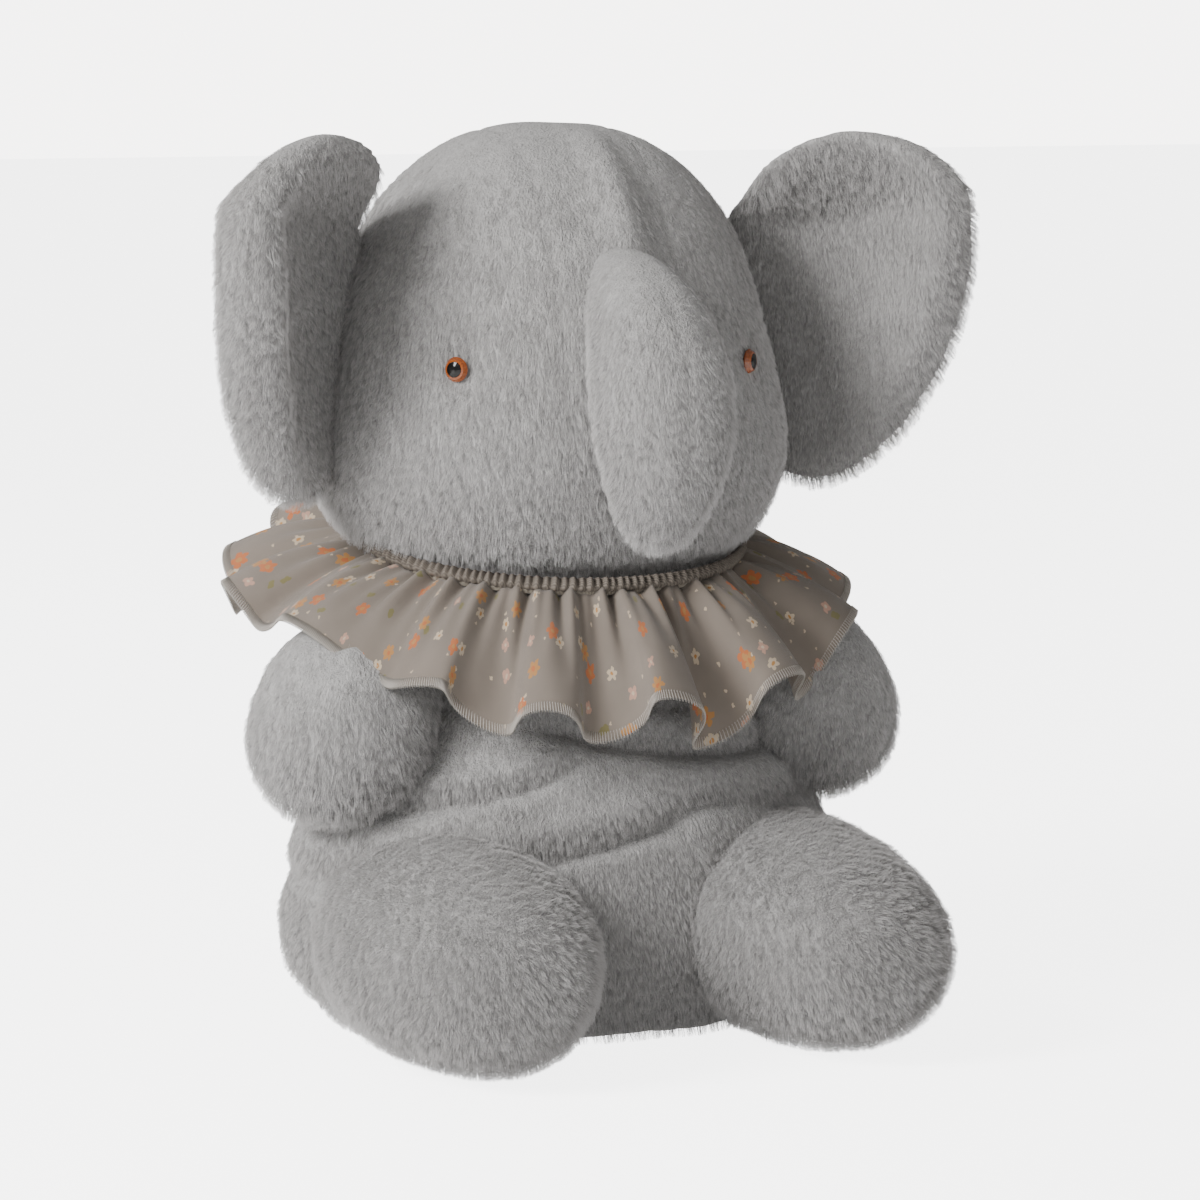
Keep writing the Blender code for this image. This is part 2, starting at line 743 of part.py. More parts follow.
def main():
    clear_scene()
    parts = new_collection("plush_elephant")
    cutters = new_collection("cutters")
    head = build_head(parts, cutters)
    head += build_eyes(parts)
    build_torso(parts, cutters)
    neck_ball("neck_stuffing", NECK_BALL_RADIUS, parts, fibre())
    build_collar(parts)
    hang_on(pivot_empty("head_pivot", NECK_PIVOT, parts), *head)
    hang_on(pivot_empty("trunk_pivot", TRUNK_PIVOT, parts), *build_trunk(parts))
    hang_on(pivot_empty("tail_pivot", TAIL_PIVOT, parts), *build_tail(parts))
    for side_name, side in SIDES.items():
        for limb, pivot, build in (
            ("ear", EAR_PIVOT, build_ear),
            ("shoulder", SHOULDER_PIVOT, build_arm),
            ("hip", HIP_PIVOT, build_leg),
        ):
            empty = pivot_empty(f"{limb}_pivot_{side_name}", mirrored(pivot, side), parts)
            hang_on(empty, *build(side_name, side, parts))


main()
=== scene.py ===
"""The looks of a seated plush elephant: pile fabric skins with hair, a printed gathered collar,
overlocked edges and safety eyes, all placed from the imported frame. Metres, +Z up, facing -Y."""

import json
import math

import bmesh
import bpy
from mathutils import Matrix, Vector, noise


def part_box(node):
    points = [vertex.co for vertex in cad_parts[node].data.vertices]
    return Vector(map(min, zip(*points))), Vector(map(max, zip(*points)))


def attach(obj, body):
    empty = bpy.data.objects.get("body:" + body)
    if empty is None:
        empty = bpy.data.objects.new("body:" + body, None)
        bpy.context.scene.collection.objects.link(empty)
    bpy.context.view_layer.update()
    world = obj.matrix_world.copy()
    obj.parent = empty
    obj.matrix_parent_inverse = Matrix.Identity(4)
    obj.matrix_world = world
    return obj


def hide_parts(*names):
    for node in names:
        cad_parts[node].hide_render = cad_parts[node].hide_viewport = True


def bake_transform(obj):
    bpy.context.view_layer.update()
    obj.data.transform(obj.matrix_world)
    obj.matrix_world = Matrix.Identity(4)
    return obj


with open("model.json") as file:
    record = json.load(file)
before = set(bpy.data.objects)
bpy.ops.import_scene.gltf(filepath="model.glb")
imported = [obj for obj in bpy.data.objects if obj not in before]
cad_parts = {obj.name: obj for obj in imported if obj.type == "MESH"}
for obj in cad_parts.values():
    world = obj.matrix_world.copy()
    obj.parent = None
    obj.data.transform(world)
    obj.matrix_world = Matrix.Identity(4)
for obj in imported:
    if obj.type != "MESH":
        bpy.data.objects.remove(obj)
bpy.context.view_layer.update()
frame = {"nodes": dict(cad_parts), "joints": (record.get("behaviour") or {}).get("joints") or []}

# Pile fabric
PILE_INSET = 0.0030          # the skin lies this far inside the CAD's outline, under its pile
PILE_PER_M2 = 1.25e6         # rendered hairs
PILE_PARENTS_PER_M2 = 70000
HAIR_ROOT = 0.00013          # hair thickness, root and tip
HAIR_TIP = 0.00004
PILE_SLOT = 2                # the skin's second material, which the hairs take
HAIR_STRAY = 0.00028         # how far a hair strays from the comb's direction
HAIR_CLUMP = 0.28

# Closing power of each skin's ends: 1 is an ellipsoid, less is squarer
BODY_BOXINESS = 0.62
HEAD_BOXINESS = 0.78
LEG_BOXINESS = 0.62
ARM_BOXINESS = 0.85
TRUNK_BOXINESS = 0.8
TAIL_BOXINESS = 0.7

# Mesh size of the skins
SKIN_VOXEL = 0.004
HEAD_VOXEL = 0.0035
TRUNK_VOXEL = 0.003

# Cloth simulation: slack is a share of the fabric's length, and no move goes past the limit
SETTLE_FRAMES = 20
TORSO_SLACK, TORSO_LIMIT = 0.05, 0.0030
LEG_SLACK, LEG_LIMIT = 0.04, 0.0022
ARM_SLACK, ARM_LIMIT = 0.04, 0.0018

# Where the pile starts above the ground, and how near the ground the skins go
PILE_FLOOR = 0.004
SKIN_FLOOR = 0.001
SEAT_FLOOR = 0.0025          # the seat before it is softened and settled

# Studio
BACKDROP_TINT = (1, 0.98, 0.965, 1)
BACKDROP_LIGHT = 0.35        # how strongly the backdrop lights the toy
BACKDROP_SEEN = 6.0          # how bright the camera sees it
FLOOR_GLOW = 0.4
FLOOR_GLOW_SEEN = 4.2        # more of it for the camera alone

# Camera: at the angle that the toy was pictured from
CAMERA_TURN = math.radians(-21)
CAMERA_RISE = math.radians(7)
CAMERA_DISTANCE = 2.46
CAMERA_LENS = 150
CAMERA_SENSOR = 36
AIM = Vector((0.0233, -0.009, 0.201))

SIDES = {"left": 1, "right": -1}
X_AXIS = Vector((1, 0, 0))
Z_AXIS = Vector((0, 0, 1))


# Materials

class Nodes:
    """A short way to write one material's node tree."""

    def __init__(self, name):
        self.material = bpy.data.materials.new(name)
        self.material.use_nodes = True
        self.tree = self.material.node_tree
        self.shader = self.tree.nodes["Principled BSDF"]

    def add(self, kind, **settings):
        node = self.tree.nodes.new(kind)
        for key, value in settings.items():
            setattr(node, key, value)
        return node

    def link(self, source, target):
        self.tree.links.new(source, target)
        return source

    def put(self, target, value):
        if isinstance(value, bpy.types.NodeSocket):
            self.link(value, target)
        else:
            target.default_value = value

    def math(self, operation, a, b=0.0, c=0.0):
        node = self.add("ShaderNodeMath", operation=operation)
        for socket, value in zip(node.inputs, (a, b, c)):
            self.put(socket, value)
        return node.outputs[0]

    def mix(self, factor, a, b):
        node = self.add("ShaderNodeMix", data_type="RGBA")
        self.put(node.inputs["Factor"], factor)
        self.put(node.inputs[6], a)
        self.put(node.inputs[7], b)
        return node.outputs[2]

    def noise(self, vector, scale, detail=3.0, rough=0.5):
        node = self.add("ShaderNodeTexNoise")
        self.put(node.inputs["Vector"], vector)
        self.put(node.inputs["Scale"], scale)
        self.put(node.inputs["Detail"], detail)
        self.put(node.inputs["Roughness"], rough)
        return node.outputs["Fac"]

    def place(self):
        return self.add("ShaderNodeTexCoord").outputs["Object"]

    def ramp(self, value, low, high):
        node = self.add("ShaderNodeMapRange")
        self.put(node.inputs["Value"], value)
        self.put(node.inputs["From Min"], low)
        self.put(node.inputs["From Max"], high)
        return node.outputs["Result"]

    def bump(self, height, strength, distance):
        node = self.add("ShaderNodeBump")
        self.put(node.inputs["Height"], height)
        self.put(node.inputs["Strength"], strength)
        self.put(node.inputs["Distance"], distance)
        self.link(node.outputs["Normal"], self.shader.inputs["Normal"])

    def finish(self, colour, roughness, **extra):
        self.put(self.shader.inputs["Base Color"], colour)
        self.put(self.shader.inputs["Roughness"], roughness)
        for key, value in extra.items():
            self.put(self.shader.inputs[key.replace("_", " ")], value)
        return self.material


def grey(value, warmth=1.0):
    """A grey a little warmer than neutral."""
    return (value * 1.012 * warmth, value * 0.995, value * 0.985 / warmth, 1)


def skin_material():
    """The pile seen as cloth: streaked along the comb, with soft patches and a deep fine bump."""
    n = Nodes("plush_skin")
    place = n.place()
    stretch = n.add("ShaderNodeMapping")
    stretch.inputs["Scale"].default_value = (1, 1, 0.28)
    n.link(place, stretch.inputs["Vector"])
    streaks = n.noise(stretch.outputs["Vector"], 900, 2, 0.6)
    tufts = n.noise(stretch.outputs["Vector"], 210, 3, 0.6)
    patches = n.noise(place, 14, 3)
    tone = n.math("ADD", n.math("MULTIPLY", streaks, 0.45), n.math("MULTIPLY", tufts, 0.35))
    tone = n.math("ADD", tone, n.math("MULTIPLY", patches, 0.2))
    colour = n.mix(n.ramp(tone, 0.32, 0.68), grey(0.19), grey(0.42))
    n.bump(n.math("ADD", streaks, n.math("MULTIPLY", tufts, 1.6)), 0.9, 0.0016)
    return n.finish(colour, 0.92, Sheen_Weight=0.25, Sheen_Roughness=0.5)


def pile_material():
    """One hair of the pile: darker at its root, pale at its tip, each a little different."""
    n = Nodes("plush_pile_hair")
    info = n.add("ShaderNodeHairInfo")
    patches = n.ramp(n.noise(n.place(), 16, 3), 0.3, 0.7)
    tip = n.mix(info.outputs["Random"], grey(0.50), grey(0.66))
    tip = n.mix(n.math("MULTIPLY", patches, 0.35), tip, grey(0.44, 1.01))
    root = grey(0.20)
    colour = n.mix(n.ramp(info.outputs["Intercept"], 0.0, 0.75), root, tip)
    return n.finish(colour, 0.62, Sheen_Weight=0.15, Specular_IOR_Level=0.3)


def flower_layer(n, uv, cell, base, petal, centre, count, size, share, seed):
    """Scattered flowers over a colour: one in each chosen cell of a Voronoi pattern."""
    shift = n.add("ShaderNodeVectorMath", operation="ADD")
    n.link(uv, shift.inputs[0])
    shift.inputs[1].default_value = (seed * 0.137, seed * 0.071, 0)
    cells = n.add("ShaderNodeTexVoronoi", voronoi_dimensions="2D")
    n.link(shift.outputs[0], cells.inputs["Vector"])
    cells.inputs["Scale"].default_value = 1 / cell
    cells.inputs["Randomness"].default_value = 0.85
    to_centre = n.add("ShaderNodeVectorMath", operation="SUBTRACT")
    n.link(shift.outputs[0], to_centre.inputs[0])
    n.link(cells.outputs["Position"], to_centre.inputs[1])
    parts = n.add("ShaderNodeSeparateXYZ")
    n.link(to_centre.outputs[0], parts.inputs[0])
    angle = n.math("ARCTAN2", parts.outputs["Y"], parts.outputs["X"])
    colours = n.add("ShaderNodeSeparateColor")
    n.link(cells.outputs["Color"], colours.inputs[0])
    turned = n.math("ADD", angle, n.math("MULTIPLY", colours.outputs["Green"], 6.28))
    lobes = n.math("ABSOLUTE", n.math("SINE", n.math("MULTIPLY", turned, count / 2)))
    reach = n.math("MULTIPLY", n.math("ADD", n.math("MULTIPLY", lobes, 0.45), 0.55), size)
    distance = n.add("ShaderNodeVectorMath", operation="LENGTH")
    n.link(to_centre.outputs[0], distance.inputs[0])
    away = distance.outputs["Value"]
    chosen = n.math("LESS_THAN", colours.outputs["Red"], share)
    inside = n.math("MULTIPLY", n.math("LESS_THAN", away, reach), chosen)
    heart = n.math("MULTIPLY", n.math("LESS_THAN", away, size * 0.28), chosen)
    painted = n.mix(inside, base, petal)
    return n.mix(heart, painted, centre)


def cotton_material():
    """Plain weave cotton in taupe with a small scattered flower print."""
    n = Nodes("printed_cotton")
    uv = n.add("ShaderNodeUVMap", uv_map="cloth").outputs["UV"]
    wobble = n.add("ShaderNodeTexNoise")
    n.link(uv, wobble.inputs["Vector"])
    wobble.inputs["Scale"].default_value = 260
    brushed = n.add("ShaderNodeVectorMath", operation="MULTIPLY_ADD")
    n.link(wobble.outputs["Color"], brushed.inputs[0])
    brushed.inputs[1].default_value = (0.0034, 0.0034, 0)
    n.link(uv, brushed.inputs[2])
    painted = brushed.outputs[0]
    warp = n.add("ShaderNodeTexWave", wave_type="BANDS", bands_direction="X")
    weft = n.add("ShaderNodeTexWave", wave_type="BANDS", bands_direction="Y")
    for wave in (warp, weft):
        n.link(uv, wave.inputs["Vector"])
        wave.inputs["Scale"].default_value = 700
        wave.inputs["Distortion"].default_value = 0.6
    weave = n.math("MAXIMUM", warp.outputs["Fac"], weft.outputs["Fac"])
    faded = n.noise(uv, 30, 3)
    base = n.mix(n.ramp(faded, 0.3, 0.7), (0.180, 0.150, 0.124, 1), (0.220, 0.187, 0.156, 1))
    cream = (0.52, 0.42, 0.30, 1)
    pink = (0.46, 0.27, 0.20, 1)
    rust = (0.47, 0.13, 0.032, 1)
    ochre = (0.42, 0.20, 0.055, 1)
    olive = (0.17, 0.15, 0.055, 1)
    colour = flower_layer(n, painted, 0.0120, base, cream, cream, 3, 0.0010, 0.35, 1)
    colour = flower_layer(n, painted, 0.0240, colour, olive, olive, 2, 0.0028, 0.35, 2)
    colour = flower_layer(n, painted, 0.0280, colour, pink, cream, 4, 0.0034, 0.40, 3)
    colour = flower_layer(n, painted, 0.0260, colour, cream, ochre, 5, 0.0036, 0.40, 4)
    colour = flower_layer(n, painted, 0.0330, colour, rust, ochre, 5, 0.0052, 0.60, 5)
    colour = flower_layer(n, painted, 0.0360, colour, ochre, rust, 6, 0.0048, 0.60, 6)
    colour = n.mix(n.math("MULTIPLY", weave, 0.22), colour, (0.12, 0.10, 0.08, 1))
    n.bump(n.math("ADD", weave, faded), 0.45, 0.0003)
    return n.finish(colour, 0.84, Sheen_Weight=0.2)


def thread_material(name, low, high, scale):
    """Twisted thread or braid: fine diagonal strands with a little colour change."""
    n = Nodes(name)
    place = n.place()
    twist = n.add("ShaderNodeTexWave", wave_type="BANDS", bands_direction="DIAGONAL")
    n.link(place, twist.inputs["Vector"])
    twist.inputs["Scale"].default_value = scale
    twist.inputs["Distortion"].default_value = 1.5
    tone = n.math("ADD", n.math("MULTIPLY", twist.outputs["Fac"], 0.6),
                  n.math("MULTIPLY", n.noise(place, 120), 0.4))
    n.bump(twist.outputs["Fac"], 0.6, 0.0003)
    return n.finish(n.mix(tone, low, high), 0.8)


def iris_material():
    """Translucent amber plastic with faint streaks."""
    n = Nodes("amber_plastic")
    streak = n.noise(n.place(), 2600, 2)
    colour = n.mix(n.ramp(streak, 0.35, 0.65), (0.17, 0.030, 0.005, 1), (0.36, 0.095, 0.014, 1))
    return n.finish(colour, 0.12, Coat_Weight=0.6, Coat_Roughness=0.03)


def core_material():
    """Polished black plastic with the faintest cloudiness."""
    n = Nodes("black_plastic")
    cloud = n.noise(n.place(), 900, 2)
    colour = n.mix(cloud, (0.004, 0.004, 0.004, 1), (0.012, 0.011, 0.010, 1))
    return n.finish(colour, n.math("MULTIPLY_ADD", cloud, 0.06, 0.05), Specular_IOR_Level=0.35)


def plain_material(name, low, high, scale, roughness):
    """A matt material with mottled tone and a fine grain."""
    n = Nodes(name)
    grain = n.noise(n.place(), scale, 4)
    n.bump(grain, 0.4, 0.0006)
    return n.finish(n.mix(grain, low, high), roughness)


def floor_material():
    n = Nodes("pale_floor")
    tone = n.noise(n.place(), 3, 2)
    colour = n.mix(tone, (0.95, 0.95, 0.95, 1), (0.98, 0.98, 0.98, 1))
    seen = n.add("ShaderNodeLightPath").outputs["Is Camera Ray"]
    glow = n.math("MULTIPLY_ADD", seen, FLOOR_GLOW_SEEN, FLOOR_GLOW)
    return n.finish(colour, 0.9, Emission_Color=(1, 1, 1, 1), Emission_Strength=glow)


# Forms

def along(values, t):
    """A smooth value at t, from 0 to 1, through evenly spaced values (Catmull-Rom)."""
    last = len(values) - 1
    place = min(max(t, 0.0), 1.0) * last
    i = min(int(place), last - 1)
    f = place - i
    before = values[i - 1] if i > 0 else 2 * values[i] - values[i + 1]
    after = values[i + 2] if i + 2 <= last else 2 * values[i + 1] - values[i]
    a, b = values[i], values[i + 1]
    return 0.5 * (
        2 * a
        + (b - before) * f
        + (2 * before - 5 * a + 4 * b - after) * f**2
        + (3 * a - before - 3 * b + after) * f**3
    )


def lobe(stations, side=1, segments=64, rings=48, boxiness=0.9):
    """A closed rounded form along stations of centre x, y, z, half width and half depth."""
    centres = [Vector((side * x, y, z)) for x, y, z, _, _ in stations]
    widths = [station[3] for station in stations]
    depths = [station[4] for station in stations]
    bm = bmesh.new()
    bmesh.ops.create_uvsphere(bm, u_segments=segments, v_segments=rings, radius=1)
    for vert in bm.verts:
        height = min(max(vert.co.z, -1.0), 1.0)
        turn = math.atan2(vert.co.y, vert.co.x)
        closing = math.sqrt(max(0.0, 1 - height**2)) ** boxiness
        t = (height + 1) / 2
        ahead = along(centres, min(t + 0.02, 1.0)) - along(centres, max(t - 0.02, 0.0))
        tangent = ahead.normalized()
        across = (X_AXIS - X_AXIS.dot(tangent) * tangent).normalized()
        over = tangent.cross(across)
        vert.co = (
            along(centres, t)
            + across * (along(widths, t) * closing * math.cos(turn))
            + over * (along(depths, t) * closing * math.sin(turn))
        )
    return bm


def frame_box(*nodes):
    """The box round several CAD nodes."""
    corners = [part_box(node) for node in nodes]
    low = Vector(map(min, *(c[0] for c in corners))) if len(corners) > 1 else corners[0][0]
    high = Vector(map(max, *(c[1] for c in corners))) if len(corners) > 1 else corners[0][1]
    return low, high


def fit(bm, box, inset):
    """Stretches the form into the box, less the inset on every side."""
    low = Vector([min(v.co[i] for v in bm.verts) for i in range(3)])
    high = Vector([max(v.co[i] for v in bm.verts) for i in range(3)])
    for vert in bm.verts:
        for i in range(3):
            share = (vert.co[i] - low[i]) / (high[i] - low[i])
            vert.co[i] = box[0][i] + inset + share * (box[1][i] - box[0][i] - 2 * inset)


def face_out(bm):
    bm.normal_update()
    if bm.calc_volume(signed=True) < 0:
        bmesh.ops.reverse_faces(bm, faces=bm.faces)
    bm.normal_update()


def as_object(name, bm, look):
    mesh = bpy.data.meshes.new(name)
    bm.to_mesh(mesh)
    bm.free()
    mesh.shade_smooth()
    mesh.materials.append(look)
    obj = bpy.data.objects.new(name, mesh)
    bpy.context.scene.collection.objects.link(obj)
    return obj


def remesh(obj, voxel, smoothing):
    """Makes the mesh even, and softens it."""
    change = obj.modifiers.new("even", "REMESH")
    change.mode = "VOXEL"
    change.voxel_size = voxel
    soften = obj.modifiers.new("soften", "SMOOTH")
    soften.iterations = smoothing
    soften.factor = 0.5
    graph = bpy.context.evaluated_depsgraph_get()
    mesh = bpy.data.meshes.new_from_object(obj.evaluated_get(graph))
    obj.modifiers.clear()
    look = obj.data.materials[0]
    obj.data = mesh
    mesh.materials.clear()
    mesh.materials.append(look)
    mesh.shade_smooth()


def push(obj, displacement):
    """Moves each vertex along its normal by displacement(point, normal)."""
    mesh = obj.data
    normals = [vert.normal.copy() for vert in mesh.vertices]
    for vert, normal in zip(mesh.vertices, normals):
        vert.co += normal * displacement(vert.co, normal)
    mesh.update()


def lumps(size, depth, seed):
    """Soft unevenness of stuffed fabric."""
    offset = Vector((seed * 3.1, seed * 1.7, seed * 2.3))

    def displacement(point, _normal):
        return depth * noise.noise(point / size + offset) + 0.4 * depth * noise.noise(
            point / (size * 0.4) - offset
        )

    return displacement


def settle(obj, slack, limit):
    """Lets the stuffed fabric settle: pressure from inside, a little slack, no move over the limit."""
    change = obj.modifiers.new("settle", "CLOTH")
    cloth = change.settings
    cloth.quality = 5
    cloth.mass = 0.001
    cloth.tension_stiffness = 12
    cloth.compression_stiffness = 12
    cloth.shear_stiffness = 5
    cloth.bending_stiffness = 0.02
    cloth.use_pressure = True
    cloth.uniform_pressure_force = 4
    cloth.shrink_min = -slack
    cloth.effector_weights.gravity = 0
    change.point_cache.frame_start = 1
    change.point_cache.frame_end = SETTLE_FRAMES
    for step in range(1, SETTLE_FRAMES + 1):
        bpy.context.scene.frame_set(step)
    graph = bpy.context.evaluated_depsgraph_get()
    settled = [vert.co.copy() for vert in obj.evaluated_get(graph).data.vertices]
    obj.modifiers.remove(change)
    bpy.context.scene.frame_set(1)
    for vert, place in zip(obj.data.vertices, settled):
        move = place - vert.co
        vert.co += move * min(1.0, limit / max(move.length, 1e-9))
    obj.data.update()


def area_of(mesh):
    return sum(face.area for face in mesh.polygons)


def grow_pile(obj, name, seed, stand=0.00070, comb=(0, 0, -0.0011), density=1.0, keep=None):
    """Covers the object with combed pile. The vectors are a quarter of a hair's length."""
    mesh = obj.data
    mesh.materials.append(PILE)
    modifier = obj.modifiers.new("pile", "PARTICLE_SYSTEM")
    modifier.show_viewport = False
    system = modifier.particle_system
    system.name = name
    system.seed = seed
    settings = system.settings
    settings.name = name
    settings.type = "HAIR"
    area = area_of(mesh)
    scale = 1.0
    settings.count = int(area * PILE_PARENTS_PER_M2 * density)
    settings.use_advanced_hair = True
    settings.hair_step = 3
    settings.render_step = 3
    settings.display_step = 2
    settings.emit_from = "FACE"
    settings.use_emit_random = True
    settings.use_even_distribution = True
    settings.use_modifier_stack = True
    settings.normal_factor = stand
    settings.object_align_factor = comb
    settings.factor_random = HAIR_STRAY
    settings.brownian_factor = 0.0
    settings.child_type = "INTERPOLATED"
    settings.child_percent = 1
    settings.rendered_child_count = max(1, int(PILE_PER_M2 / PILE_PARENTS_PER_M2 * scale))
    settings.child_length = 1.0
    settings.clump_factor = HAIR_CLUMP
    settings.clump_shape = 0.0
    settings.roughness_2 = 0.0012
    settings.roughness_2_size = 0.6
    settings.roughness_1 = 0.0008
    settings.roughness_1_size = 0.02
    settings.child_length_threshold = 0.0
    settings.root_radius = 1.0
    settings.tip_radius = HAIR_TIP / HAIR_ROOT
    settings.radius_scale = HAIR_ROOT / 1.0
    settings.shape = 0.0
    settings.material = PILE_SLOT
    if keep:
        group = obj.vertex_groups.new(name="pile_here")
        for vert in mesh.vertices:
            group.add([vert.index], keep(vert.co), "REPLACE")
        system.vertex_group_density = "pile_here"
    return obj


def soft_nodes(prefix, side_name=None):
    """The CAD nodes of one soft limb."""
    found = []
    for node in frame["nodes"]:
        if not node.startswith(prefix):
            continue
        if side_name and not node.endswith(side_name):
            continue
        found.append(node)
    return sorted(found)


# Skins

def above_ground(point):
    """Pile grows everywhere but on the face that the toy rests on."""
    return 1.0 if point.z > PILE_FLOOR else 0.0


# Stations: centre x, y, z, half width, half depth
HEAD_SHAPE = [
    (0, 0.010, 0.208, 0.143, 0.139),
    (0, 0.008, 0.268, 0.129, 0.131),
    (0, 0.004, 0.326, 0.108, 0.111),
    (0, 0.003, 0.380, 0.103, 0.100),
    (0, 0.003, 0.435, 0.101, 0.096),
]
TORSO_SHAPE = [
    (0, -0.022, -0.020, 0.150, 0.106),
    (0, -0.022, 0.038, 0.154, 0.107),
    (0, -0.014, 0.097, 0.132, 0.097),
    (0, -0.004, 0.165, 0.108, 0.088),
    (0, 0.004, 0.262, 0.138, 0.116),
]
LEG_SHAPE = [
    (0.080, 0.006, 0.054, 0.056, 0.050),
    (0.084, -0.050, 0.054, 0.059, 0.052),
    (0.087, -0.104, 0.053, 0.060, 0.052),
    (0.088, -0.158, 0.051, 0.059, 0.051),
    (0.088, -0.210, 0.048, 0.056, 0.049),
]
ARM_SHAPE = [
    (0.094, -0.016, 0.200, 0.034, 0.036),
    (0.104, -0.024, 0.176, 0.040, 0.042),
    (0.117, -0.032, 0.152, 0.044, 0.046),
    (0.127, -0.038, 0.128, 0.045, 0.047),
    (0.133, -0.042, 0.104, 0.042, 0.043),
]
TRUNK_SHAPE = [
    (0, -0.080, 0.371, 0.021, 0.021),
    (0, -0.119, 0.353, 0.026, 0.027),
    (0, -0.146, 0.325, 0.031, 0.032),
    (0, -0.152, 0.286, 0.032, 0.032),
    (0, -0.143, 0.244, 0.028, 0.027),
]
TAIL_SHAPE = [
    (0, 0.070, 0.073, 0.008, 0.008),
    (0, 0.086, 0.066, 0.008, 0.008),
    (0, 0.097, 0.054, 0.008, 0.008),
    (0, 0.103, 0.040, 0.009, 0.009),
    (0, 0.105, 0.026, 0.010, 0.010),
]


def crease(point, centre_y, start, end, sag, depth, width):
    """How deep a fold pulls in at a point: it runs between two (turn, height) places."""
    turn = math.degrees(math.atan2(point.x, -(point.y - centre_y)))
    share = (turn - start[0]) / (end[0] - start[0])
    if not -0.15 < share < 1.15:
        return 0.0
    fade = min(1.0, (share + 0.15) / 0.3) * min(1.0, (1.15 - share) / 0.3)
    height = start[1] + (end[1] - start[1]) * share - sag * 4 * share * (1 - share)
    away = (point.z - height) / width
    bulge = 0.45 * math.exp(-(((point.z - height - 1.9 * width) / (1.5 * width)) ** 2))
    return depth * fade * (bulge - math.exp(-(away**2)))


BELLY_FOLDS = [
    # start (turn in degrees, height), end, sag, depth, width
    ((-22, 0.150), (66, 0.136), 0.004, 0.0080, 0.0050),
    ((-78, 0.112), (-20, 0.131), 0.004, 0.0055, 0.0045),
    ((-100, 0.078), (26, 0.113), 0.006, 0.0065, 0.0055),
    ((10, 0.120), (72, 0.108), 0.002, 0.0040, 0.0050),
    ((-60, 0.160), (-15, 0.150), 0.002, 0.0040, 0.0040),
    ((110, 0.140), (240, 0.130), 0.004, 0.0050, 0.0060),
    ((120, 0.085), (235, 0.095), 0.006, 0.0050, 0.0060),
]


def torso_folds(point, normal):
    total = sum(crease(point, -0.02, *fold) for fold in BELLY_FOLDS)
    return total + lumps(0.05, 0.0022, 4)(point, normal)


def build_torso():
    bm = lobe(TORSO_SHAPE, segments=96, rings=72, boxiness=BODY_BOXINESS)
    for vert in bm.verts:
        vert.co.z = max(vert.co.z, SKIN_FLOOR)
    low, high = frame_box(*soft_nodes("body_"))
    high.z = max(v.co.z for v in bm.verts) + PILE_INSET
    fit(bm, (low, high), PILE_INSET)
    for vert in bm.verts:
        vert.co.z = max(vert.co.z, SEAT_FLOOR)
    face_out(bm)
    skin = as_object("body_skin", bm, SKIN)
    remesh(skin, SKIN_VOXEL, 3)
    push(skin, torso_folds)
    settle(skin, TORSO_SLACK, TORSO_LIMIT)
    for vert in skin.data.vertices:
        vert.co.z = max(vert.co.z, SKIN_FLOOR)
    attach(skin, "torso")
    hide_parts(*soft_nodes("body_"))
    grow_pile(skin, "body_pile", 11, keep=above_ground)
    return skin


def build_leg(side_name, side):
    bm = lobe(LEG_SHAPE, side, segments=64, rings=56, boxiness=LEG_BOXINESS)
    fit(bm, frame_box(*soft_nodes("leg_", side_name)), PILE_INSET)
    face_out(bm)
    skin = as_object("leg_skin_" + side_name, bm, SKIN)
    remesh(skin, SKIN_VOXEL, 2)
    push(skin, lumps(0.045, 0.0020, 5 + side))
    settle(skin, LEG_SLACK, LEG_LIMIT)
    for vert in skin.data.vertices:
        vert.co.z = max(vert.co.z, 2 * SKIN_FLOOR)
    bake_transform(skin)
    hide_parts(*soft_nodes("leg_", side_name))
    comb = (side * 0.0001, -0.0007, -0.0006)
    grow_pile(skin, "leg_pile_" + side_name, 20 + side, stand=0.0010, comb=comb, keep=above_ground)
    return skin


ARM_FULLNESS = 1.12    # the arms bulge forwards past the CAD's
ARM_RAISE = 0.004


def build_arm(side_name, side):
    bm = lobe(ARM_SHAPE, side, segments=56, rings=48, boxiness=ARM_BOXINESS)
    fit(bm, frame_box(*soft_nodes("arm_", side_name)), PILE_INSET - 0.001)
    back = max(v.co.y for v in bm.verts)
    for vert in bm.verts:
        vert.co.y = back + (vert.co.y - back) * ARM_FULLNESS
        vert.co.z += ARM_RAISE
    face_out(bm)
    skin = as_object("arm_skin_" + side_name, bm, SKIN)
    remesh(skin, SKIN_VOXEL, 2)
    push(skin, lumps(0.035, 0.0016, 8 + side))
    settle(skin, ARM_SLACK, ARM_LIMIT)
    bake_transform(skin)
    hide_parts(*soft_nodes("arm_", side_name))
    grow_pile(skin, "arm_pile_" + side_name, 30 + side)
    return skin


GUSSET_HALF_WIDTH = 0.030
GUSSET_SEAM_DEPTH = 0.0009
CROWN_RIDGE_HEIGHT = 0.0080
BROW_SWELL = 0.010
TRUNK_SEAM_DEPTH = 0.0016
SOCKET_DEPTH = 0.0036
SOCKET_RADIUS = 0.014
EYE_CLEARING = 0.0066          # no pile grows this near the middle of an eye


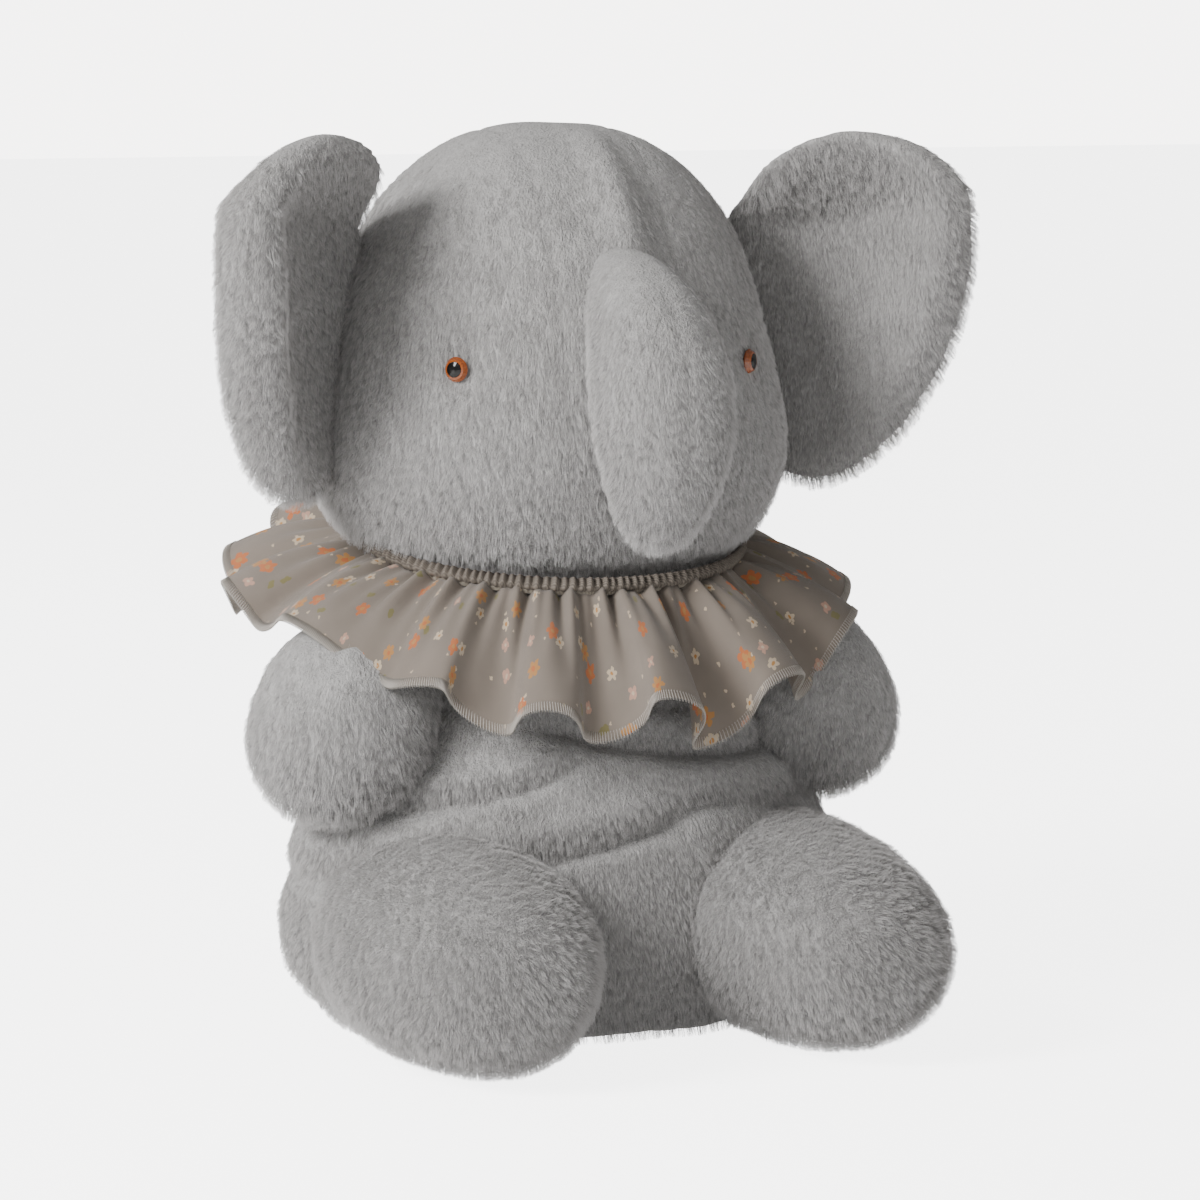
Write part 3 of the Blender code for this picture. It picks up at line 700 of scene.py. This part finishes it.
def head_seam(point, normal):
    """The crown's soft ridge, the gusset's seams and the brow that swells behind the trunk."""
    ridge = math.exp(-((point.x - 0.006) / 0.010) ** 2)
    front = max(0.0, min(1.0, (-point.y - 0.02) / 0.05))
    top = max(0.0, min(1.0, (point.z - 0.350) / 0.03))
    seam = math.exp(-((abs(point.x) - GUSSET_HALF_WIDTH) / 0.0022) ** 2)
    rise = max(0.0, min(1.0, (point.z - 0.262) / 0.05))
    along_trunk = rise * max(0.0, min(1.0, (0.395 - point.z) / 0.05))
    beside = math.exp(-((point.x / 0.034) ** 2))
    brow = BROW_SWELL * beside * along_trunk * max(0.0, -normal.y)
    relief = brow + CROWN_RIDGE_HEIGHT * ridge * front * top - GUSSET_SEAM_DEPTH * seam
    return relief + lumps(0.06, 0.0016, 2)(point, normal)


def eye_middles():
    """The middle of each eye."""
    boxes = [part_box("eye_iris_" + side_name) for side_name in SIDES]
    return [(low + high) / 2 for low, high in boxes]


def eye_socket(point, eyes):
    """Dips round each eye, where the washer pulls the fabric in."""
    return sum(-SOCKET_DEPTH * math.exp(-(((point - eye).length / SOCKET_RADIUS) ** 2)) for eye in eyes)


def build_head():
    bm = lobe(HEAD_SHAPE, segments=96, rings=72, boxiness=HEAD_BOXINESS)
    face_out(bm)
    skin = as_object("head_skin", bm, SKIN)
    remesh(skin, HEAD_VOXEL, 2)
    eyes = eye_middles()

    def relief(point, normal):
        return head_seam(point, normal) + eye_socket(point, eyes)

    def outside_eyes(point):
        return 0.0 if min((point - eye).length for eye in eyes) < EYE_CLEARING else 1.0

    push(skin, relief)
    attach(skin, "head")
    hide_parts(*soft_nodes("head_"))
    grow_pile(skin, "head_pile", 40, keep=outside_eyes)
    return skin


def build_trunk():
    bm = lobe(TRUNK_SHAPE, segments=56, rings=56, boxiness=TRUNK_BOXINESS)
    face_out(bm)
    skin = as_object("trunk_skin", bm, SKIN)
    remesh(skin, TRUNK_VOXEL, 2)

    def seam(point, normal):
        """The trunk's front seam, drawn in a little."""
        front = max(0.0, -normal.y)
        groove = -TRUNK_SEAM_DEPTH * front * math.exp(-((point.x / 0.0028) ** 2))
        return groove + lumps(0.03, 0.0010, 6)(point, normal)

    push(skin, seam)
    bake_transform(skin)
    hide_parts(*soft_nodes("trunk_"))
    grow_pile(skin, "trunk_pile", 50, stand=0.0007)
    return skin


TAIL_INSET = 0.002
TAIL_SUNK = 0.004              # how far the tail's skin sits forward of the CAD's, into the back


def build_tail():
    bm = lobe(TAIL_SHAPE, segments=24, rings=32, boxiness=TAIL_BOXINESS)
    fit(bm, frame_box("tail_cover"), TAIL_INSET)
    for vert in bm.verts:
        vert.co.y -= TAIL_SUNK
    face_out(bm)
    skin = as_object("tail_skin", bm, SKIN)
    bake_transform(skin)
    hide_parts(*soft_nodes("tail_"))
    grow_pile(skin, "tail_pile", 60)
    return skin


EAR_ROOT_ANGLE = math.radians(28)
EAR_CUP_ANGLE = math.radians(50)
EAR_ROOT_X, EAR_ROOT_Y, EAR_ROOT_Z = 0.098, 0.012, 0.345
EAR_MIDDLE_Z = 0.343
EAR_REACH = 0.136              # from the root to the outer rim
EAR_SUNK = 0.008               # how far the pad starts inside the head
EAR_HALF_HEIGHT = 0.090
EAR_OUTER_RISE = 0.018         # the outer rim sits higher than the root
EAR_HALF_THICKNESS = 0.0135
EAR_RIM_SWELL = 0.0105         # added to it at the rim
EAR_DISH = 0.007               # how far the middle is sunk
EAR_FOLD = 0.052               # how far the upper edge folds forward
EAR_FOLD_DROP = 0.016          # and how far that brings it down
EAR_FOLD_START = 0.50          # share of the half height where the fold starts
EAR_BASE_GAP = 0.004           # the ear's lower edge stays this far above the CAD's


def build_ear(side_name, side):
    """A cupped pad with a fat rim; its upper edge folds forward near the head."""
    low, high = frame_box(*soft_nodes("ear_", side_name))
    height = high.z - low.z
    bm = bmesh.new()
    bmesh.ops.create_uvsphere(bm, u_segments=96, v_segments=40, radius=1)
    for vert in bm.verts:
        out, up, through = vert.co.x, vert.co.y, vert.co.z
        rim = max(1e-9, math.hypot(out, up))
        out, up = out * rim ** -0.18, up * rim ** -0.18
        through = math.copysign(abs(through) ** 0.72, through)
        reach = (out + 1) / 2 * (1 + 0.17 * up)
        angle = EAR_ROOT_ANGLE + EAR_CUP_ANGLE * reach / 2
        way = Vector((math.cos(angle), -math.sin(angle), 0))
        facing_angle = EAR_ROOT_ANGLE + EAR_CUP_ANGLE * reach
        facing = Vector((-math.sin(facing_angle), -math.cos(facing_angle), 0))
        thick = EAR_HALF_THICKNESS + EAR_RIM_SWELL * rim**2.5
        folded = max(0.0, up - EAR_FOLD_START) / (1 - EAR_FOLD_START)
        curl = folded * max(0.0, 1.10 - 0.72 * reach)
        vert.co = (
            Vector((EAR_ROOT_X, EAR_ROOT_Y, EAR_MIDDLE_Z))
            + way * (EAR_REACH * reach - EAR_SUNK)
            + facing * (through * thick + EAR_FOLD * curl - EAR_DISH * (1 - rim**2))
            + Z_AXIS * (up * EAR_HALF_HEIGHT + EAR_OUTER_RISE * (reach - 0.5) - EAR_FOLD_DROP * curl)
        )
        vert.co.x *= side
    face_out(bm)
    wanted_low = min(v.co.z for v in bm.verts)
    wanted_high = max(v.co.z for v in bm.verts)
    for vert in bm.verts:
        share = (vert.co.z - wanted_low) / (wanted_high - wanted_low)
        vert.co.z = low.z + PILE_INSET + EAR_BASE_GAP + share * (height - 2 * PILE_INSET - EAR_BASE_GAP)
    skin = as_object("ear_skin_" + side_name, bm, SKIN)
    remesh(skin, HEAD_VOXEL, 2)
    push(skin, lumps(0.035, 0.0016, 12 + side))
    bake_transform(skin)
    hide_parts(*soft_nodes("ear_", side_name))
    grow_pile(skin, "ear_pile_" + side_name, 70 + side, comb=(side * 0.0003, -0.0001, -0.0010))
    return skin


# Collar

COLLAR_FOLDS = 14
FRILL_STEPS = COLLAR_FOLDS * 64
FRILL_ROWS = 22
FRILL_WIDTH = 0.070
FRILL_CLOTH_LENGTH = 2 * math.pi * 0.160 * 1.5    # the cloth before gathering, for its print
CLOTH_THICKNESS = 0.0005
FRILL_DROOP = 0.10             # the frill's slope at the back, in radians
FRILL_FRONT_DROOP = 0.52       # added to it at the front
FOLD_HEIGHT = 0.0188
GATHER_REACH = 0.0016          # the small gathers near the heading, outward and upward
GATHER_HEIGHT = 0.0018
ARM_TURN = math.radians(72)    # where the frill lies over each arm
ARM_LIFT = 0.017               # how far an arm lifts the hem
ARM_WIDTH = 0.45               # radians of the ring that an arm takes, each way
ARM_FLATTENING = 0.35          # share of the folds' depth that an arm takes away
HEADING_PLEATS = 150
HEADING_STEPS = FRILL_STEPS * 2
HEADING_ROWS = 8
STITCHES = COLLAR_FOLDS * 76
STITCH_STEPS = 4               # points of thread in one stitch
THREAD_RADIUS = 0.00032


def fold_wave(turn):
    """The frill's waves round the neck, uneven like gathered cloth. It goes from -1 to 1."""
    shift = 0.55 * math.sin(3 * turn + 0.7) + 0.35 * math.sin(5 * turn + 2.1)
    return math.sin(COLLAR_FOLDS * turn + shift)


def collar_frame():
    """The collar's own directions: the ring dips at the front."""
    joint = next(j for j in frame["joints"] if j["name"] == "collar_turn")
    axis = Vector(joint["axis"]).normalized()
    low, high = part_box("collar_elastic")
    return (low + high) / 2, axis


def frill_point(turn, across, centre, tilt, radius):
    """A point of the cloth; turn 0 is the front, and grows towards the toy's left."""
    wave = fold_wave(turn)
    gathers = math.sin(COLLAR_FOLDS * 3 * turn + 1.3 * math.sin(4 * turn))
    gathers += 0.7 * math.sin(COLLAR_FOLDS * 5 * turn + 1.7 * math.sin(3 * turn + 1))
    small = gathers * max(0.0, 1 - across) ** 1.5
    size = 0.7 + 0.3 * math.sin(2 * turn + 0.4) + 0.18 * math.sin(7 * turn)
    from_front = abs((turn + math.pi) % (2 * math.pi) - math.pi)
    over_arm = math.exp(-(((from_front - ARM_TURN) / ARM_WIDTH) ** 2))
    size *= 1 - ARM_FLATTENING * over_arm
    spread = across**0.85
    front = (1 + math.cos(turn)) / 2
    droop = FRILL_DROOP + FRILL_FRONT_DROOP * front**1.5
    run = FRILL_WIDTH * across
    out = radius + run * math.cos(droop + 0.25 * across)
    down = run * math.sin(droop + 0.35 * across) * 0.92
    fold = FOLD_HEIGHT * size * spread * wave
    out += 0.45 * fold + GATHER_REACH * small
    height = -down + fold * 0.85 + GATHER_HEIGHT * small + ARM_LIFT * over_arm * across
    sideways = -0.0060 * size * spread * math.sin(2 * COLLAR_FOLDS * turn) * across
    along_ring = Vector((math.cos(turn), math.sin(turn), 0))
    outward = Vector((math.sin(turn), -math.cos(turn), 0))
    local = outward * out + along_ring * sideways + Z_AXIS * height
    return centre + tilt @ local


def build_collar():
    centre, axis = collar_frame()
    tilt = Z_AXIS.rotation_difference(axis).to_matrix()
    low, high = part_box("collar_elastic")
    radius = (high.x - low.x) / 2 - 0.001
    mesh = bpy.data.meshes.new("frill")
    bm = bmesh.new()
    layer = bm.loops.layers.uv.new("cloth")
    rings = []
    for row in range(FRILL_ROWS + 1):
        across = row / FRILL_ROWS
        rings.append([
            bm.verts.new(frill_point(2 * math.pi * i / FRILL_STEPS, across, centre, tilt, radius))
            for i in range(FRILL_STEPS)
        ])
    for row in range(FRILL_ROWS):
        for i in range(FRILL_STEPS):
            j = (i + 1) % FRILL_STEPS
            face = bm.faces.new((rings[row][i], rings[row][j], rings[row + 1][j], rings[row + 1][i]))
            corners = ((i, row), (i + 1, row), (i + 1, row + 1), (i, row + 1))
            for loop, (step, level) in zip(face.loops, corners):
                u = FRILL_CLOTH_LENGTH * step / FRILL_STEPS
                loop[layer].uv = (u, FRILL_WIDTH * level / FRILL_ROWS)
    bm.normal_update()
    bm.to_mesh(mesh)
    bm.free()
    mesh.shade_smooth()
    mesh.materials.append(COTTON)
    frill = bpy.data.objects.new("collar_cloth", mesh)
    bpy.context.scene.collection.objects.link(frill)
    thick = frill.modifiers.new("thickness", "SOLIDIFY")
    thick.thickness = CLOTH_THICKNESS
    thick.offset = 0
    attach(frill, "collar")
    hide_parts("collar_frill")
    build_heading(centre, tilt, radius)
    build_overlock(centre, tilt, radius)


def build_heading(centre, tilt, radius):
    """The ruched heading: cloth gathered tight over the elastic, in fine upright pleats."""
    bm = bmesh.new()
    layer = bm.loops.layers.uv.new("cloth")
    rings = []
    for row in range(HEADING_ROWS + 1):
        share = row / HEADING_ROWS
        ring = []
        for i in range(HEADING_STEPS):
            turn = 2 * math.pi * i / HEADING_STEPS
            pleat = math.sin(HEADING_PLEATS * turn + 1.5 * math.sin(9 * turn))
            pleat += 0.4 * math.sin(71 * turn)
            belly = math.sin(math.pi * share)
            out = radius + 0.0026 * belly + 0.0013 * pleat * (0.45 + abs(share - 0.5))
            up = 0.0066 - 0.0070 * share + 0.0007 * pleat
            local = Vector((math.sin(turn), -math.cos(turn), 0)) * out + Z_AXIS * up
            ring.append(bm.verts.new(centre + tilt @ local))
        rings.append(ring)
    for row in range(HEADING_ROWS):
        for i in range(HEADING_STEPS):
            j = (i + 1) % HEADING_STEPS
            face = bm.faces.new((rings[row][i], rings[row][j], rings[row + 1][j], rings[row + 1][i]))
            corners = ((i, row), (i + 1, row), (i + 1, row + 1), (i, row + 1))
            for loop, (step, level) in zip(face.loops, corners):
                loop[layer].uv = (1.6 * step / HEADING_STEPS, 0.012 * level / HEADING_ROWS)
    bm.normal_update()
    # Its material carries painted fold shade, darker than the cotton of the frill
    heading = as_object("collar_heading", bm, SHADED_HEADING)
    thick = heading.modifiers.new("thickness", "SOLIDIFY")
    thick.thickness = CLOTH_THICKNESS
    thick.offset = 0
    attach(heading, "collar")


def build_overlock(centre, tilt, radius):
    """The overlock stitch: a thread that loops over the hem's edge all the way round."""
    curve = bpy.data.curves.new("overlock", "CURVE")
    curve.dimensions = "3D"
    curve.bevel_depth = THREAD_RADIUS
    curve.bevel_resolution = 1
    points = []
    for step in range(STITCHES * STITCH_STEPS):
        turn = 2 * math.pi * step / (STITCHES * STITCH_STEPS)
        phase = step % STITCH_STEPS
        across = (0.952, 1.006, 1.006, 0.952)[phase]
        lift = (0.0006, 0.0006, -0.0006, -0.0006)[phase]
        point = frill_point(turn, across, centre, tilt, radius)
        points.append(point + tilt @ (Z_AXIS * lift))
    spline = curve.splines.new("POLY")
    spline.points.add(len(points) - 1)
    for place, point in zip(spline.points, points):
        place.co = (*point, 1)
    spline.use_cyclic_u = True
    curve.materials.append(OVERLOCK)
    edge = bpy.data.objects.new("collar_overlock", curve)
    bpy.context.scene.collection.objects.link(edge)
    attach(edge, "collar")


# Carried-over CAD nodes

def paint(node, look):
    """Gives a CAD node its finished material."""
    mesh = frame["nodes"][node].data
    mesh.materials.clear()
    mesh.materials.append(look)
    mesh.shade_smooth()


def paint_frame_nodes():
    iris, core = iris_material(), core_material()
    washer = plain_material("natural_plastic", (0.62, 0.62, 0.58, 1), (0.76, 0.76, 0.72, 1), 300, 0.45)
    fibre = plain_material("polyester_fibre", (0.70, 0.70, 0.68, 1), (0.86, 0.86, 0.84, 1), 160, 1.0)
    bag = plain_material("pellet_bag_cotton", (0.60, 0.56, 0.48, 1), (0.74, 0.70, 0.62, 1), 500, 0.9)
    elastic = thread_material("elastic_braid", (0.17, 0.15, 0.125, 1), (0.30, 0.27, 0.22, 1), 500)
    for side_name in SIDES:
        paint("eye_iris_" + side_name, iris)
        paint("eye_core_" + side_name, core)
        paint("eye_washer_" + side_name, washer)
    paint("pellet_bag", bag)
    paint("neck_stuffing", fibre)
    paint("collar_elastic", elastic)


# Studio

FLOOR_HALF_SIZE = 12
FLOOR_DROP = 0.0005
LIGHT_AIM = (0, 0, 0.2)
LIGHTS = [
    # name, place, size, power, colour
    ("key", (-2.1, -0.78, 1.4), 1.0, 98, (1, 0.985, 0.97)),
    ("fill", (-0.3, -2.6, 0.9), 1.6, 3, (1, 1, 1)),
    ("rim", (-0.6, 1.8, 1.5), 1.2, 12, (1, 1, 1)),
]


def area_light(name, place, size, power, colour):
    light = bpy.data.lights.new(name, "AREA")
    light.shape = "SQUARE"
    light.size = size
    light.energy = power
    light.color = colour
    obj = bpy.data.objects.new(name, light)
    obj.location = place
    obj.rotation_euler = (Vector(LIGHT_AIM) - Vector(place)).to_track_quat("-Z", "Y").to_euler()
    bpy.context.scene.collection.objects.link(obj)


def build_studio():
    bm = bmesh.new()
    bmesh.ops.create_grid(bm, x_segments=2, y_segments=2, size=FLOOR_HALF_SIZE)
    floor = as_object("studio_floor", bm, floor_material())
    floor.location.z = -FLOOR_DROP
    world = bpy.data.worlds.new("studio")
    world.use_nodes = True
    background = world.node_tree.nodes["Background"]
    background.inputs["Color"].default_value = BACKDROP_TINT
    # The backdrop is seen brighter than it lights the toy
    tree = world.node_tree
    seen = tree.nodes.new("ShaderNodeLightPath").outputs["Is Camera Ray"]
    strength = tree.nodes.new("ShaderNodeMapRange")
    tree.links.new(seen, strength.inputs["Value"])
    strength.inputs["To Min"].default_value = BACKDROP_LIGHT
    strength.inputs["To Max"].default_value = BACKDROP_SEEN
    tree.links.new(strength.outputs["Result"], background.inputs["Strength"])
    bpy.context.scene.world = world
    for light in LIGHTS:
        area_light(*light)


def build_camera():
    data = bpy.data.cameras.new("camera")
    data.lens = CAMERA_LENS
    data.sensor_width = CAMERA_SENSOR
    back = Vector((
        math.sin(CAMERA_TURN) * math.cos(CAMERA_RISE),
        -math.cos(CAMERA_TURN) * math.cos(CAMERA_RISE),
        math.sin(CAMERA_RISE),
    ))
    camera = bpy.data.objects.new("camera", data)
    camera.location = AIM + back * CAMERA_DISTANCE
    camera.rotation_euler = (-back).to_track_quat("-Z", "Y").to_euler()
    bpy.context.scene.collection.objects.link(camera)
    bpy.context.scene.camera = camera


SKIN = skin_material()
PILE = pile_material()
COTTON = cotton_material()
# The heading's dark colour is painted fold shade: darker than the printed cotton it is gathered from
SHADED_HEADING = thread_material("gathered_heading_painted_shade", (0.055, 0.047, 0.038, 1), (0.21, 0.18, 0.15, 1), 420)
OVERLOCK = thread_material("overlock_thread", (0.30, 0.27, 0.24, 1), (0.50, 0.47, 0.43, 1), 900)

paint_frame_nodes()
build_torso()
build_head()
build_trunk()
build_tail()
for side_name, side in SIDES.items():
    build_leg(side_name, side)
    build_arm(side_name, side)
    build_ear(side_name, side)
build_collar()
build_studio()
build_camera()
